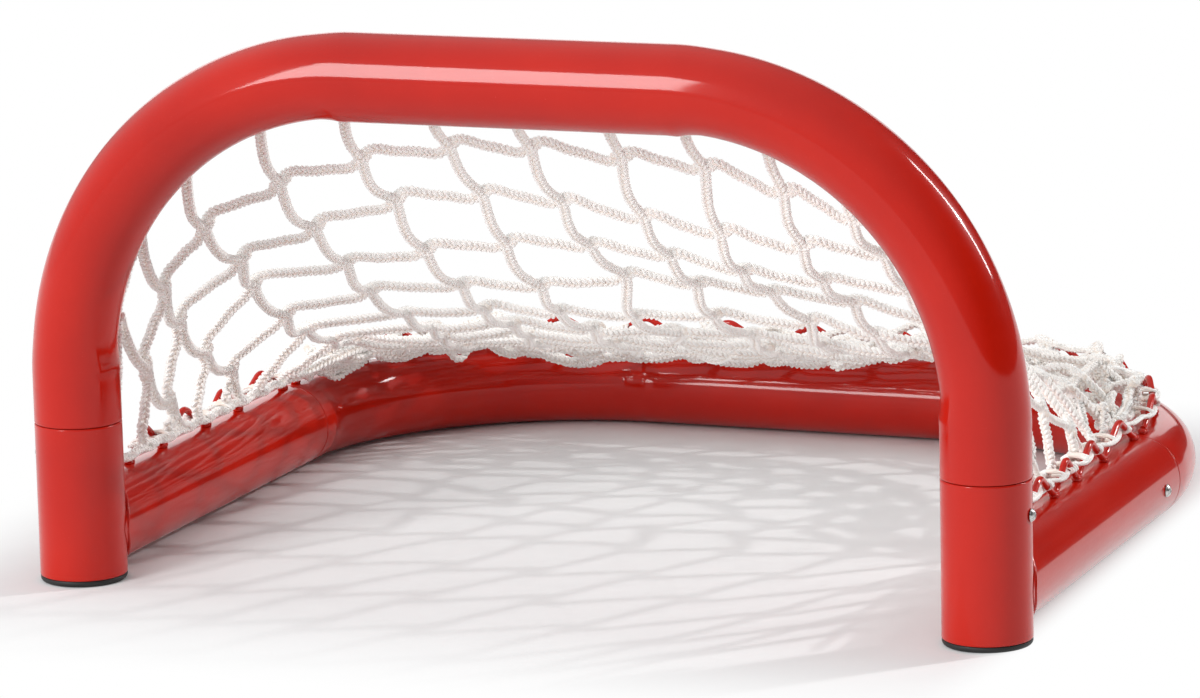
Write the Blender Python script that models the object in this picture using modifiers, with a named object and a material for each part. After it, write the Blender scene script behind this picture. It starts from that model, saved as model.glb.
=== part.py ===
"""Mini hockey goal: a bent tube arch on a U-shaped tube base, with a laced cord net.

Metres, +Z up. The goal mouth faces -Y. The origin lies on the floor, midway between
the two posts and midway between the post axes and the rear bar axis.
"""

import math

import bmesh
import bpy
from mathutils import Matrix, Vector

# Frame: overall sizes
POST_SPACING = 0.5492        # between the two post axes
BASE_DEPTH = 0.486           # from the post axes back to the rear bar's axis
ARCH_HEIGHT = 0.301          # from the floor to the top bar's axis
POST_HEIGHT = 0.0935         # from the floor to the seam under the arch
ARCH_BEND_RADIUS = 0.1778    # to the tube's axis
BASE_BEND_RADIUS = 0.1778    # to the tube's axis

# Tube
TUBE_OD = 0.0508
TUBE_WALL = 0.0016
TUBE_SIDES = 20
BEND_STEPS = 12

# Joints between tubes
SPIGOT_LENGTH = 0.045        # swaged tube end that slides into the next tube
SPIGOT_CLEARANCE = 0.0004    # radial
SHOULDER_LENGTH = 0.0022     # taper from the spigot up to the full tube
SEAM_GAP = 0.0004
SEAM_SETBACK = 0.009         # the base seams lie this far in front of the rear bends
SEAT_GAP = 0.0003
WELD_BEAD_RADIUS = 0.0026

# Foot caps
FOOT_RIM = 0.0035            # cap thickness under the post
FOOT_EDGE = 0.0018           # rounded lower edge
PLUG_LENGTH = 0.016
PLUG_WALL = 0.0022
PLUG_BARB = 0.0006

# Screws and inserts
POST_SCREW_SETBACK = 0.020   # below the seam under the arch
BASE_SCREW_SETBACK = 0.029   # in front of the base seam
SHANK_DIAMETER = 0.004
SHANK_LENGTH = 0.012
HEAD_DIAMETER = 0.0076
HEAD_HEIGHT = 0.0022
SOCKET_WIDTH = 0.0025        # across the flats
SOCKET_DEPTH = 0.0012
HOLE_CLEARANCE = 0.0003      # radial
INSERT_WIDTH = 0.007         # across the flats
INSERT_LENGTH = 0.004

# Lacing rods
ROD_DIAMETER = 0.004
TOOTH_PITCH = 0.056
TOOTH_HEIGHT = 0.014         # wire axis, valley to peak
ROD_FRONT = 0.066            # first valley behind the post axis
ROD_SEAM_MARGIN = 0.009      # rod ends stay this far from a seam

# Net and lacing cords
LACING_DIAMETER = 0.0036
NET_CORD = 0.005
NET_MESH = 0.052             # between two knots
NET_ROWS = 10
NET_EDGE_HEIGHT = 0.0075     # above the wire's valley axis
NET_FALL = 2.25              # how steeply the net drops behind the arch
NET_SHOULDER = 2.7           # how square the net's cross-section is
NET_DIP = 0.020              # slack that hangs in front of the rear bar
NET_DIP_PLACE = 8            # a higher power brings the slack nearer to the bar

TUBE_RADIUS = TUBE_OD / 2
HALF_SPACING = POST_SPACING / 2
FRONT_Y = -BASE_DEPTH / 2
SPIGOT_RADIUS = TUBE_RADIUS - TUBE_WALL - SPIGOT_CLEARANCE
ROD_RADIUS = ROD_DIAMETER / 2
LACING_RADIUS = LACING_DIAMETER / 2
ROD_LIFT = TUBE_RADIUS + SEAT_GAP + ROD_RADIUS
LACING_SWAY = ROD_RADIUS + LACING_RADIUS + 2 * SEAT_GAP
NET_INSET = LACING_SWAY + LACING_RADIUS + NET_CORD / 2 + SEAT_GAP


class Hoop:
    """A U-shaped line: a leg, a bend, a cross bar, a bend and a leg, in its own plane.

    across runs from one leg to the other, along runs up the legs to the bar.
    """

    def __init__(self, half_width, start, reach, bend_radius):
        self.half_width = half_width
        self.start = start
        self.reach = reach
        self.bend_radius = bend_radius
        self.leg = reach - bend_radius - start
        self.arc = bend_radius * math.pi / 2
        self.bar = 2 * (half_width - bend_radius)
        self.length = 2 * self.leg + 2 * self.arc + self.bar

    def at(self, distance):
        """The point at a distance from the left end, and the inward direction there."""
        if distance > self.length / 2:
            across, along, inward_across, inward_along = self.at(self.length - distance)
            return -across, along, -inward_across, inward_along
        if distance <= self.leg:
            return -self.half_width, self.start + distance, 1.0, 0.0
        if distance >= self.leg + self.arc:
            past = distance - self.leg - self.arc
            return -self.half_width + self.bend_radius + past, self.reach, 0.0, -1.0
        angle = (distance - self.leg) / self.bend_radius
        inward_across = math.cos(angle)
        inward_along = -math.sin(angle)
        across = -self.half_width + self.bend_radius * (1 - inward_across)
        along = self.reach - self.bend_radius * (1 + inward_along)
        return across, along, inward_across, inward_along

    def stations(self, begin, end):
        """Distances that a swept tube needs between two places: ends and bend steps."""
        marks = [begin, end]
        for first in (self.leg, self.length - self.leg - self.arc):
            marks += [first + self.arc * step / BEND_STEPS for step in range(BEND_STEPS + 1)]
        return sorted(mark for mark in marks if begin <= mark <= end)


ARCH = Hoop(HALF_SPACING, POST_HEIGHT, ARCH_HEIGHT, ARCH_BEND_RADIUS)
BASE = Hoop(HALF_SPACING, 0.0, BASE_DEPTH, BASE_BEND_RADIUS)
BASE_SEAM = BASE.leg - SEAM_SETBACK


def base_axis_height(along):
    """The base falls by the caps' thickness, from the posts to the rear bar."""
    front = FOOT_RIM + TUBE_RADIUS
    return front + (TUBE_RADIUS - front) * along / BASE_DEPTH


def arch_point(distance, inset=0.0, lift=0.0):
    """A point on the arch's line, moved inwards and rearwards."""
    across, along, inward_across, inward_along = ARCH.at(distance)
    return Vector((across + inward_across * inset, FRONT_Y + lift, along + inward_along * inset))


def base_point(distance, inset=0.0, lift=0.0):
    """A point on the base's line, moved inwards and upwards."""
    across, along, inward_across, inward_along = BASE.at(distance)
    along += inward_along * inset
    height = base_axis_height(along) + lift
    return Vector((across + inward_across * inset, FRONT_Y + along, height))


def clear_scene():
    for item in list(bpy.data.objects):
        bpy.data.objects.remove(item)


def new_collection(name):
    collection = bpy.data.collections.new(name)
    bpy.context.scene.collection.children.link(collection)
    return collection


def new_material(name, colour, roughness, metallic=0.0):
    material = bpy.data.materials.new(name)
    material.use_nodes = True
    shader = material.node_tree.nodes["Principled BSDF"]
    shader.inputs["Base Color"].default_value = (*colour, 1.0)
    shader.inputs["Roughness"].default_value = roughness
    shader.inputs["Metallic"].default_value = metallic
    return material


clear_scene()
PARTS = new_collection("mini_hockey_goal")
CUTTERS = new_collection("cutters")


def red_paint(name):
    return new_material(name, (0.55, 0.018, 0.010), 0.18)


def black_plastic(name):
    return new_material(name, (0.012, 0.011, 0.012), 0.5)


def bright_steel(name):
    return new_material(name, (0.62, 0.61, 0.60), 0.25, 1.0)


def white_cord(name):
    return new_material(name, (0.82, 0.80, 0.76), 0.85)


def add_part(name, mesh, material, location=(0, 0, 0)):
    part = bpy.data.objects.new(name, mesh)
    part.location = location
    mesh.materials.clear()
    mesh.materials.append(material)
    PARTS.objects.link(part)
    return part


def smooth(mesh):
    mesh.shade_smooth()
    mesh.set_sharp_from_angle(angle=math.radians(40))


def swept_mesh(name, points, radius, sides, factors=None, caps=True, closed=False):
    """A round section swept along points; factors scale the radius at each point."""
    data = bpy.data.curves.new(name, "CURVE")
    data.dimensions = "3D"
    data.bevel_depth = radius
    data.bevel_resolution = sides // 2 - 2
    data.use_fill_caps = caps
    spline = data.splines.new("POLY")
    spline.points.add(len(points) - 1)
    for index, point in enumerate(points):
        spline.points[index].co = (*point, 1.0)
        spline.points[index].radius = factors[index] if factors else 1.0
    spline.use_cyclic_u = closed
    guide = bpy.data.objects.new(name, data)
    PARTS.objects.link(guide)
    evaluated = guide.evaluated_get(bpy.context.evaluated_depsgraph_get())
    mesh = bpy.data.meshes.new_from_object(evaluated)
    bpy.data.objects.remove(guide)
    shape = bmesh.new()
    shape.from_mesh(mesh)
    bmesh.ops.remove_doubles(shape, verts=shape.verts, dist=0.00001)
    bmesh.ops.recalc_face_normals(shape, faces=shape.faces)
    shape.to_mesh(mesh)
    shape.free()
    smooth(mesh)
    return mesh


def add_wall(part):
    wall = part.modifiers.new("wall", "SOLIDIFY")
    wall.thickness = TUBE_WALL
    wall.offset = -1.0
    wall.use_even_offset = True


def add_cutter(name, mesh, matrix):
    cutter = bpy.data.objects.new(name, mesh)
    cutter.matrix_world = matrix
    cutter.hide_render = True
    cutter.display_type = "WIRE"
    CUTTERS.objects.link(cutter)
    return cutter


def cut(part, cutter):
    difference = part.modifiers.new("cut_" + cutter.name, "BOOLEAN")
    difference.operation = "DIFFERENCE"
    difference.object = cutter


def prism_mesh(name, radius, length, sides):
    shape = bmesh.new()
    bmesh.ops.create_cone(shape, cap_ends=True, segments=sides, radius1=radius, radius2=radius, depth=length)
    mesh = bpy.data.meshes.new(name)
    shape.to_mesh(mesh)
    shape.free()
    return mesh


def turned_part(name, profile, material, steps):
    """A part turned about its own Z axis; the profile runs down its outer side."""
    mesh = bpy.data.meshes.new(name)
    edges = [(index, index + 1) for index in range(len(profile) - 1)]
    mesh.from_pydata([(radius, 0.0, height) for radius, height in profile], edges, [])
    part = add_part(name, mesh, material)
    turn = part.modifiers.new("turn", "SCREW")
    turn.steps = steps
    turn.render_steps = steps
    turn.use_merge_vertices = True
    turn.merge_threshold = 0.00001
    return part


def tube_with_spigots(name, point_at, begin, end, line):
    """A bent tube between two seams, with a swaged spigot past each end."""
    small = SPIGOT_RADIUS / TUBE_RADIUS
    inner = line.stations(begin + SEAM_GAP + SHOULDER_LENGTH, end - SEAM_GAP - SHOULDER_LENGTH)
    points = [point_at(distance) for distance in inner]
    factors = [1.0] * len(points)
    first_way = (point_at(begin) - point_at(begin + SEAM_GAP)).normalized()
    last_way = (point_at(end) - point_at(end - SEAM_GAP)).normalized()
    roots = point_at(begin + SEAM_GAP), point_at(end - SEAM_GAP)
    tips = point_at(begin) + first_way * SPIGOT_LENGTH, point_at(end) + last_way * SPIGOT_LENGTH
    points = [tips[0], roots[0]] + points + [roots[1], tips[1]]
    factors = [small, small] + factors + [small, small]
    part = add_part(name, swept_mesh(name, points, TUBE_RADIUS, TUBE_SIDES, factors, caps=False), red_paint(name))
    add_wall(part)
    return part


def side_name(side):
    return "left" if side < 0 else "right"


def screw_places(side):
    """Where the two screws of one side enter the tubes, on their outer side."""
    along = BASE_SEAM - BASE_SCREW_SETBACK
    return {
        "post": Vector((side * HALF_SPACING, FRONT_Y, POST_HEIGHT - POST_SCREW_SETBACK)),
        "base": Vector((side * HALF_SPACING, FRONT_Y + along, base_axis_height(along))),
    }


def outward(side):
    """Turns +Z to the outer side of the goal."""
    return Matrix.Rotation(side * math.pi / 2, 4, "Y")


def hole_cutter(side, place_name):
    """Drills the outer wall of the tube and of the spigot inside it."""
    place = screw_places(side)[place_name]
    radius = SHANK_DIAMETER / 2 + HOLE_CLEARANCE
    name = side_name(side) + "_" + place_name + "_drill"
    centre = place + Vector((side * TUBE_RADIUS, 0, 0))
    return add_cutter(name, prism_mesh(name, radius, TUBE_RADIUS, 16), Matrix.Translation(centre) @ outward(side))


def make_arch(drills):
    arch = tube_with_spigots("arch_tube", arch_point, 0.0, ARCH.length, ARCH)
    for drill in drills:
        cut(arch, drill)


def make_rear_bar(drills):
    bar = tube_with_spigots("rear_bar", base_point, BASE_SEAM, BASE.length - BASE_SEAM, BASE)
    for drill in drills:
        cut(bar, drill)


def make_lower_post(side, drill):
    name = side_name(side) + "_lower_post"
    ends = [Vector((side * HALF_SPACING, FRONT_Y, height)) for height in (FOOT_RIM, POST_HEIGHT)]
    post = add_part(name, swept_mesh(name, ends, TUBE_RADIUS, TUBE_SIDES, caps=False), red_paint(name))
    add_wall(post)
    cut(post, drill)


def weld_bead_mesh(name, side):
    """The fillet weld round the coped end of a side tube."""
    ring = TUBE_RADIUS + WELD_BEAD_RADIUS / 3
    reach = TUBE_RADIUS + WELD_BEAD_RADIUS
    steps = 24
    points = []
    for step in range(steps):
        angle = 2 * math.pi * (step + 0.5) / steps
        across = ring * math.cos(angle)
        along = math.sqrt(reach ** 2 - across ** 2)
        height = base_axis_height(along) + ring * math.sin(angle)
        points.append(Vector((side * HALF_SPACING + across, FRONT_Y + along, height)))
    return swept_mesh(name, points, WELD_BEAD_RADIUS, 6, closed=True, caps=False)


def make_side_tube(side, drill):
    """A straight base tube, coped to the back of its post and welded there."""
    name = side_name(side) + "_side_tube"
    ends = [base_point(0.0), base_point(BASE_SEAM)]
    for end in ends:
        end.x = side * HALF_SPACING
    tube = add_part(name, swept_mesh(name, ends, TUBE_RADIUS, TUBE_SIDES, caps=False), red_paint(name))
    add_wall(tube)
    bead_name = side_name(side) + "_weld_bead"
    bead = add_cutter(bead_name, weld_bead_mesh(bead_name, side), Matrix())
    weld = tube.modifiers.new("weld", "BOOLEAN")
    weld.operation = "UNION"
    weld.object = bead
    cope_name = side_name(side) + "_cope"
    cope = prism_mesh(cope_name, TUBE_RADIUS + SEAT_GAP, 2 * POST_HEIGHT, 48)
    centre = Vector((side * HALF_SPACING, FRONT_Y, POST_HEIGHT / 2))
    cut(tube, add_cutter(cope_name, cope, Matrix.Translation(centre)))
    cut(tube, drill)


def make_foot_cap(side):
    """A black push-in cap: a rim under the post and a barbed hollow plug inside it."""
    plug = TUBE_RADIUS - TUBE_WALL - SEAT_GAP - PLUG_BARB
    rim = TUBE_RADIUS - SEAT_GAP
    shelf = FOOT_RIM - SEAT_GAP
    top = shelf + PLUG_LENGTH
    profile = [(0.0, shelf), (plug - PLUG_WALL, shelf), (plug - PLUG_WALL, top), (plug - PLUG_BARB, top)]
    barbs = 2
    for barb in range(barbs):
        upper = top - PLUG_LENGTH * (barb + 0.25) / barbs
        profile += [(plug + PLUG_BARB, upper - PLUG_BARB), (plug, upper - 2 * PLUG_BARB)]
    profile += [(plug, shelf), (rim, shelf), (rim, FOOT_EDGE)]
    profile += [(rim - 0.3 * FOOT_EDGE, 0.3 * FOOT_EDGE), (rim - FOOT_EDGE, 0.0), (0.0, 0.0)]
    name = side_name(side) + "_foot_cap"
    cap = turned_part(name, profile, black_plastic(name), 24)
    cap.location = (side * HALF_SPACING, FRONT_Y, 0.0)


def make_screw(side, place_name):
    """A button-head screw with a hexagon socket, pointing into the tube."""
    name = side_name(side) + "_" + place_name + "_screw"
    head = HEAD_DIAMETER / 2
    shank = SHANK_DIAMETER / 2
    flat_top = 0.55 * head
    profile = [(0.0, HEAD_HEIGHT), (flat_top, HEAD_HEIGHT), (0.85 * head, 0.7 * HEAD_HEIGHT)]
    profile += [(head, 0.15 * HEAD_HEIGHT), (head, 0.0), (shank, 0.0), (shank, -SHANK_LENGTH), (0.0, -SHANK_LENGTH)]
    screw = turned_part(name, profile, bright_steel(name), 16)
    seat = screw_places(side)[place_name] + Vector((side * (TUBE_RADIUS + SEAT_GAP), 0, 0))
    screw.matrix_world = Matrix.Translation(seat) @ outward(side)
    socket_name = name + "_socket"
    socket = prism_mesh(socket_name, SOCKET_WIDTH / math.sqrt(3), 2 * SOCKET_DEPTH, 6)
    top = seat + Vector((side * HEAD_HEIGHT, 0, 0))
    cut(screw, add_cutter(socket_name, socket, Matrix.Translation(top) @ outward(side)))


def make_insert(side, place_name):
    """A hexagonal nut fixed inside the spigot, which the screw passes through."""
    name = side_name(side) + "_" + place_name + "_insert"
    corner = INSERT_WIDTH / math.sqrt(3)
    bore = SPIGOT_RADIUS - TUBE_WALL
    seat = math.sqrt(bore ** 2 - corner ** 2) - SEAT_GAP
    centre = screw_places(side)[place_name] + Vector((side * (seat - INSERT_LENGTH / 2), 0, 0))
    insert = add_part(name, prism_mesh(name, corner, INSERT_LENGTH, 6), bright_steel(name))
    insert.matrix_world = Matrix.Translation(centre) @ outward(side)
    hole_name = name + "_hole"
    hole = prism_mesh(hole_name, SHANK_DIAMETER / 2 + HOLE_CLEARANCE, 2 * INSERT_LENGTH, 16)
    cut(insert, add_cutter(hole_name, hole, insert.matrix_world.copy()))


def tooth_height(phase):
    """Height of the rod's wire over its valleys: straight legs, rounded top and bottom."""
    part = phase % 1.0
    rise = 2 * min(part, 1 - part)
    rounded = 0.18
    if rise < rounded:
        return TOOTH_HEIGHT * rise ** 2 / (2 * rounded * (1 - rounded))
    if rise > 1 - rounded:
        return TOOTH_HEIGHT * (1 - (1 - rise) ** 2 / (2 * rounded * (1 - rounded)))
    return TOOTH_HEIGHT * (rise - rounded / 2) / (1 - rounded)


def rod_teeth(begin, end):
    """As many whole teeth as come nearest to the wanted pitch."""
    return max(1, round((end - begin) / TOOTH_PITCH))


def make_rod(name, point_at, begin, end):
    """A wire bent into teeth, its valleys welded along the tube."""
    teeth = rod_teeth(begin, end)
    phases = [tooth + part for tooth in range(teeth) for part in (0.0, 0.11, 0.39, 0.5, 0.61, 0.89)]
    phases.append(float(teeth))
    points = []
    for phase in phases:
        distance = begin + (end - begin) * phase / teeth
        points.append(point_at(distance, 0.0, ROD_LIFT + tooth_height(phase)))
    add_part(name, swept_mesh(name, points, ROD_RADIUS, 6), red_paint(name))


def rod_spans():
    """The stretches of the base line that carry a rod, from left to right."""
    side_end = BASE_SEAM - ROD_SEAM_MARGIN
    rear_begin = BASE_SEAM + ROD_SEAM_MARGIN
    return {
        "left_lacing_rod": (ROD_FRONT, side_end),
        "rear_lacing_rod": (rear_begin, BASE.length - rear_begin),
        "right_lacing_rod": (BASE.length - side_end, BASE.length - ROD_FRONT),
    }


ARCH_ROD_SPAN = (ROD_SEAM_MARGIN, ARCH.length - ROD_SEAM_MARGIN)


def woven_points(point_at, spans):
    """A cord that passes under each tooth's peak and over each valley."""
    lift = ROD_LIFT + NET_EDGE_HEIGHT
    points = []
    for begin, end in spans:
        teeth = rod_teeth(begin, end)
        points.append(point_at(begin, 0.0, lift))
        for tooth in range(teeth):
            for step in range(6):
                phase = tooth + (step + 0.5) / 6
                sway = LACING_SWAY * math.sin(2 * math.pi * phase)
                points.append(point_at(begin + (end - begin) * phase / teeth, sway, lift))
        points.append(point_at(end, 0.0, lift))
    return points


def least_gap(points, diameter):
    """The smallest gap between parts of one cord that aren't neighbours along it."""
    lengths = [0.0]
    for before, after in zip(points, points[1:]):
        lengths.append(lengths[-1] + (after - before).length)
    gap = lengths[-1]
    for first, one in enumerate(points):
        for second in range(first + 1, len(points)):
            if lengths[second] - lengths[first] > 4 * diameter:
                gap = min(gap, (points[second] - one).length - diameter)
    return gap


def make_lacing(name, point_at, spans):
    points = woven_points(point_at, spans)
    print(f"{name}: least gap to itself {least_gap(points, LACING_DIAMETER) * 1000:.1f} mm")
    add_part(name, swept_mesh(name, points, LACING_RADIUS, 6), white_cord(name))


NET_LIFT = ROD_LIFT + NET_EDGE_HEIGHT
NET_BACK = BASE_DEPTH - NET_INSET


def net_crown(back):
    """Distance behind the post axes and height of the net's middle line."""
    along = NET_LIFT + (NET_BACK - NET_LIFT) * back
    front = ARCH_HEIGHT - NET_INSET
    rear = base_axis_height(NET_BACK) + NET_LIFT
    dip = NET_DIP * math.sin(math.pi * back ** NET_DIP_PLACE) ** 2
    return along, rear + (front - rear) * (1 - back) ** NET_FALL - dip


def net_row_places():
    """Shares of the way back at which equal steps down the middle line end."""
    steps = 400
    line = [net_crown(step / steps) for step in range(steps + 1)]
    lengths = [0.0]
    for before, after in zip(line, line[1:]):
        lengths.append(lengths[-1] + math.dist(before, after))
    places = []
    for row in range(NET_ROWS + 1):
        wanted = lengths[-1] * row / NET_ROWS
        places.append(min(range(steps + 1), key=lambda step: abs(lengths[step] - wanted)) / steps)
    return places


def foot_distance(along):
    """Distance on the base's line at which the net's edge is this far behind the posts."""
    past = (along - BASE.leg) / (BASE_BEND_RADIUS - NET_INSET)
    if past <= 0:
        return along
    return BASE.leg + BASE_BEND_RADIUS * math.asin(min(past, 1.0))


def net_hoop(back):
    """Points down one half of a row of the net, from its middle to its left end."""
    steps = 60
    if back == 0.0:
        begin, end = ARCH_ROD_SPAN
        middle = ARCH.length / 2
        return [arch_point(middle + (begin - middle) * step / steps, NET_INSET, NET_LIFT)
                for step in range(steps + 1)]
    along, crown = net_crown(back)
    foot = base_point(foot_distance(along), NET_INSET, NET_LIFT)
    points = []
    for step in range(steps + 1):
        angle = math.pi / 2 * step / steps
        across = foot.x * math.sin(angle) ** (2 / NET_SHOULDER)
        rise = max(math.cos(angle), 0.0) ** (2 / NET_SHOULDER)
        points.append(Vector((across, FRONT_Y + along, foot.z + (crown - foot.z) * rise)))
    return points


def place_on(points, distance):
    """The place at a distance down a line of points."""
    for before, after in zip(points, points[1:]):
        length = (after - before).length
        if distance <= length:
            return before.lerp(after, distance / length)
        distance -= length
    return points[-1].copy()


def net_rows():
    """Knots of the net's left half, row by row from the middle to the edge."""
    rows = []
    for back in net_row_places():
        points = net_hoop(back)
        length = sum((after - before).length for before, after in zip(points, points[1:]))
        count = max(2, round(length / NET_MESH))
        rows.append([place_on(points, NET_MESH * column) for column in range(count)] + [points[-1]])
    return rows


def make_net():
    """A square mesh of cord: hoops across the goal and straight cords running back."""
    rows = net_rows()
    places = net_row_places()
    shape = bmesh.new()
    middle = [shape.verts.new(row[0]) for row in rows]
    for side in (-1, 1):
        knots = []
        for row, first in zip(rows, middle):
            others = [shape.verts.new((point.x * -side, point.y, point.z)) for point in row[1:]]
            knots.append([first] + others)
        for index, (upper, lower) in enumerate(zip(knots, knots[1:])):
            dropped = max(0, len(upper) - len(lower))
            edge = [lower[-1]]
            alongs = [net_crown(places[index])[0], net_crown(places[index + 1])[0]]
            distances = [foot_distance(along) for along in alongs]
            for extra in range(1, dropped):
                share = 1 - extra / dropped
                point = base_point(distances[0] + (distances[1] - distances[0]) * share, NET_INSET, NET_LIFT)
                edge.append(shape.verts.new((point.x * -side, point.y, point.z)))
            lower_chain = lower + edge[1:]
            for column in range(len(upper) - 1):
                corners = [upper[column], upper[column + 1]]
                corners += [lower_chain[min(column + 1, len(lower_chain) - 1)]]
                if column < len(lower_chain) - 1:
                    corners.append(lower_chain[column])
                shape.faces.new(corners if side < 0 else corners[::-1])
    mesh = bpy.data.meshes.new("net")
    shape.to_mesh(mesh)
    shape.free()
    net = add_part("net", mesh, white_cord("net"))
    cords = net.modifiers.new("cords", "WIREFRAME")
    cords.thickness = NET_CORD
    cords.use_even_offset = True
    cords.use_boundary = True
    cords.use_replace = True


def build():
    drills = {(side, place): hole_cutter(side, place) for side in (-1, 1) for place in ("post", "base")}
    make_arch([drills[(-1, "post")], drills[(1, "post")]])
    make_rear_bar([drills[(-1, "base")], drills[(1, "base")]])
    for side in (-1, 1):
        make_lower_post(side, drills[(side, "post")])
        make_side_tube(side, drills[(side, "base")])
        make_foot_cap(side)
        for place in ("post", "base"):
            make_screw(side, place)
            make_insert(side, place)
    for name, (begin, end) in rod_spans().items():
        make_rod(name, base_point, begin, end)
    make_rod("arch_lacing_rod", arch_point, *ARCH_ROD_SPAN)
    make_lacing("base_lacing_cord", base_point, list(rod_spans().values()))
    make_lacing("arch_lacing_cord", arch_point, [ARCH_ROD_SPAN])
    make_net()


build()
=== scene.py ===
"""Mini hockey goal, dressed: round painted tubes, braided net, lacing, floor, light and camera.

Metres, +Z up, the goal mouth faces -Y. Sizes repeat those of the solid model.
"""

import math

import bpy
import numpy as np
from mathutils import Matrix, Vector


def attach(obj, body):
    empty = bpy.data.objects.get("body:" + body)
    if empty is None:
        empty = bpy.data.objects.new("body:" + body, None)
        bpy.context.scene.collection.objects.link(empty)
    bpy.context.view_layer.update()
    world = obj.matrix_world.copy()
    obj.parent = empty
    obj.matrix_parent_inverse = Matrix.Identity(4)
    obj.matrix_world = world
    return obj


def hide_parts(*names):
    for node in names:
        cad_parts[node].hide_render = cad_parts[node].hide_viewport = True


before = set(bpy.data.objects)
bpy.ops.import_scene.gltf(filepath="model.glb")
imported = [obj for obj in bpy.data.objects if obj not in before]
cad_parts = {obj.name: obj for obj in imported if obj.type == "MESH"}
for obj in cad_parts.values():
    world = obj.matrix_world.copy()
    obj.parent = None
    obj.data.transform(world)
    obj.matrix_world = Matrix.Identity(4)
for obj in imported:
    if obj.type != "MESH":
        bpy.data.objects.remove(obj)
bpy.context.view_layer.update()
RANDOM = np.random.default_rng(11)

# Sizes of the solid model
POST_SPACING = 0.5492
BASE_DEPTH = 0.486
ARCH_HEIGHT = 0.301
POST_HEIGHT = 0.0935
BEND_RADIUS = 0.1778
TUBE_RADIUS = 0.0254
TUBE_WALL = 0.0016
SPIGOT_RADIUS = 0.0234
SEAM_BEFORE_BEND = 0.009
SEAM_GAP = 0.0004
SEAT_GAP = 0.0003
FOOT_RIM = 0.0035
POST_SCREW_SETBACK = 0.020
BASE_SCREW_SETBACK = 0.029
HEAD_RADIUS = 0.0038
HEAD_HEIGHT = 0.0022
SOCKET_WIDTH = 0.0025
SOCKET_DEPTH = 0.0012
ROD_RADIUS = 0.002
TOOTH_HEIGHT = 0.014
ROD_LIFT = 0.0277
NET_INSET = 0.0090
NET_LIFT = 0.0352
HALF_SPACING = POST_SPACING / 2
FRONT_Y = -BASE_DEPTH / 2

TURN = 2 * math.pi
HANDS = (("left", -1), ("right", 1))
norm = np.linalg.norm
PROBE = 0.001  # a small step along or across a line, to find a direction


# ---- lines

BEND_EASE = 0.022  # length over which a bend's flattening sets in


class Hoop:
    """A leg, a bend, a cross bar, a bend and a leg, in its own plane."""

    def __init__(self, start, reach):
        self.start = start
        self.reach = reach
        self.leg = reach - BEND_RADIUS - start
        self.arc = BEND_RADIUS * math.pi / 2
        bar = 2 * (HALF_SPACING - BEND_RADIUS)
        self.length = 2 * self.leg + 2 * self.arc + bar

    def at(self, distance):
        """A place, across and along, then the inward direction there, across and along."""
        if distance > self.length / 2:
            across, along, inward_across, inward_along = self.at(self.length - distance)
            return -across, along, -inward_across, inward_along
        if distance <= self.leg:
            return -HALF_SPACING, self.start + distance, 1.0, 0.0
        if distance >= self.leg + self.arc:
            past = distance - self.leg - self.arc
            return -HALF_SPACING + BEND_RADIUS + past, self.reach, 0.0, -1.0
        angle = (distance - self.leg) / BEND_RADIUS
        cosine, sine = math.cos(angle), math.sin(angle)
        across = -HALF_SPACING + BEND_RADIUS * (1 - cosine)
        return across, self.reach - BEND_RADIUS * (1 - sine), cosine, -sine

    def bend_share(self, distance):
        """How far into a bend a place is: 0 on the straights, 1 well inside a bend."""
        distance = min(distance, self.length - distance)
        into = min(distance - self.leg, self.leg + self.arc - distance)
        return np.clip(into / BEND_EASE, 0, 1)


ARCH = Hoop(POST_HEIGHT, ARCH_HEIGHT)
BASE = Hoop(0.0, BASE_DEPTH)
BASE_SEAM = BASE.leg - SEAM_BEFORE_BEND


def base_axis_height(along):
    front = FOOT_RIM + TUBE_RADIUS
    return front + (TUBE_RADIUS - front) * along / BASE_DEPTH


def arch_point(distance, inset=0.0, lift=0.0):
    """A place on the arch's axis, moved inwards by inset and backwards by lift."""
    across, along, inward_across, inward_along = ARCH.at(distance)
    return np.array((across + inward_across * inset, FRONT_Y + lift, along + inward_along * inset))


def base_point(distance, inset=0.0, lift=0.0):
    """A place on the base's axis, moved inwards by inset and upwards by lift."""
    across, along, inward_across, inward_along = BASE.at(distance)
    along += inward_along * inset
    return np.array((across + inward_across * inset, FRONT_Y + along, base_axis_height(along) + lift))


def smooth_step(value):
    value = np.clip(value, 0.0, 1.0)
    return value * value * (3 - 2 * value)


def unit(vectors):
    return vectors / np.maximum(norm(vectors, axis=-1, keepdims=True), 1e-12)


def square_to(vector, axis):
    """The unit vector nearest to one vector and square to an axis."""
    return unit(vector - axis * np.dot(vector, axis))


def run_length(path):
    """Length along a path at each of its points."""
    return np.concatenate([[0.0], np.cumsum(norm(np.diff(path, axis=0), axis=1))])


def add_object(name, data):
    thing = bpy.data.objects.new(name, data)
    bpy.context.scene.collection.objects.link(thing)
    return thing


def turn_angles(sides, shift=0.0):
    return (np.arange(sides) + shift) * TURN / sides


def spokes(angles, first, second):
    """Directions round a line, by ring and angle, from two vectors for each ring."""
    return np.cos(angles)[None, :, None] * first[:, None] + np.sin(angles)[None, :, None] * second[:, None]


# ---- mesh building

SHARP_ANGLE = math.radians(50)
# a strand's painted shade: pale on the two crests that face out and in, painted dark shade on the flanks
# where strands touch
PAINTED_TOUCH_SHADE, PAINTED_CREST_LIGHT = 0.30, 0.80


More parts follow.
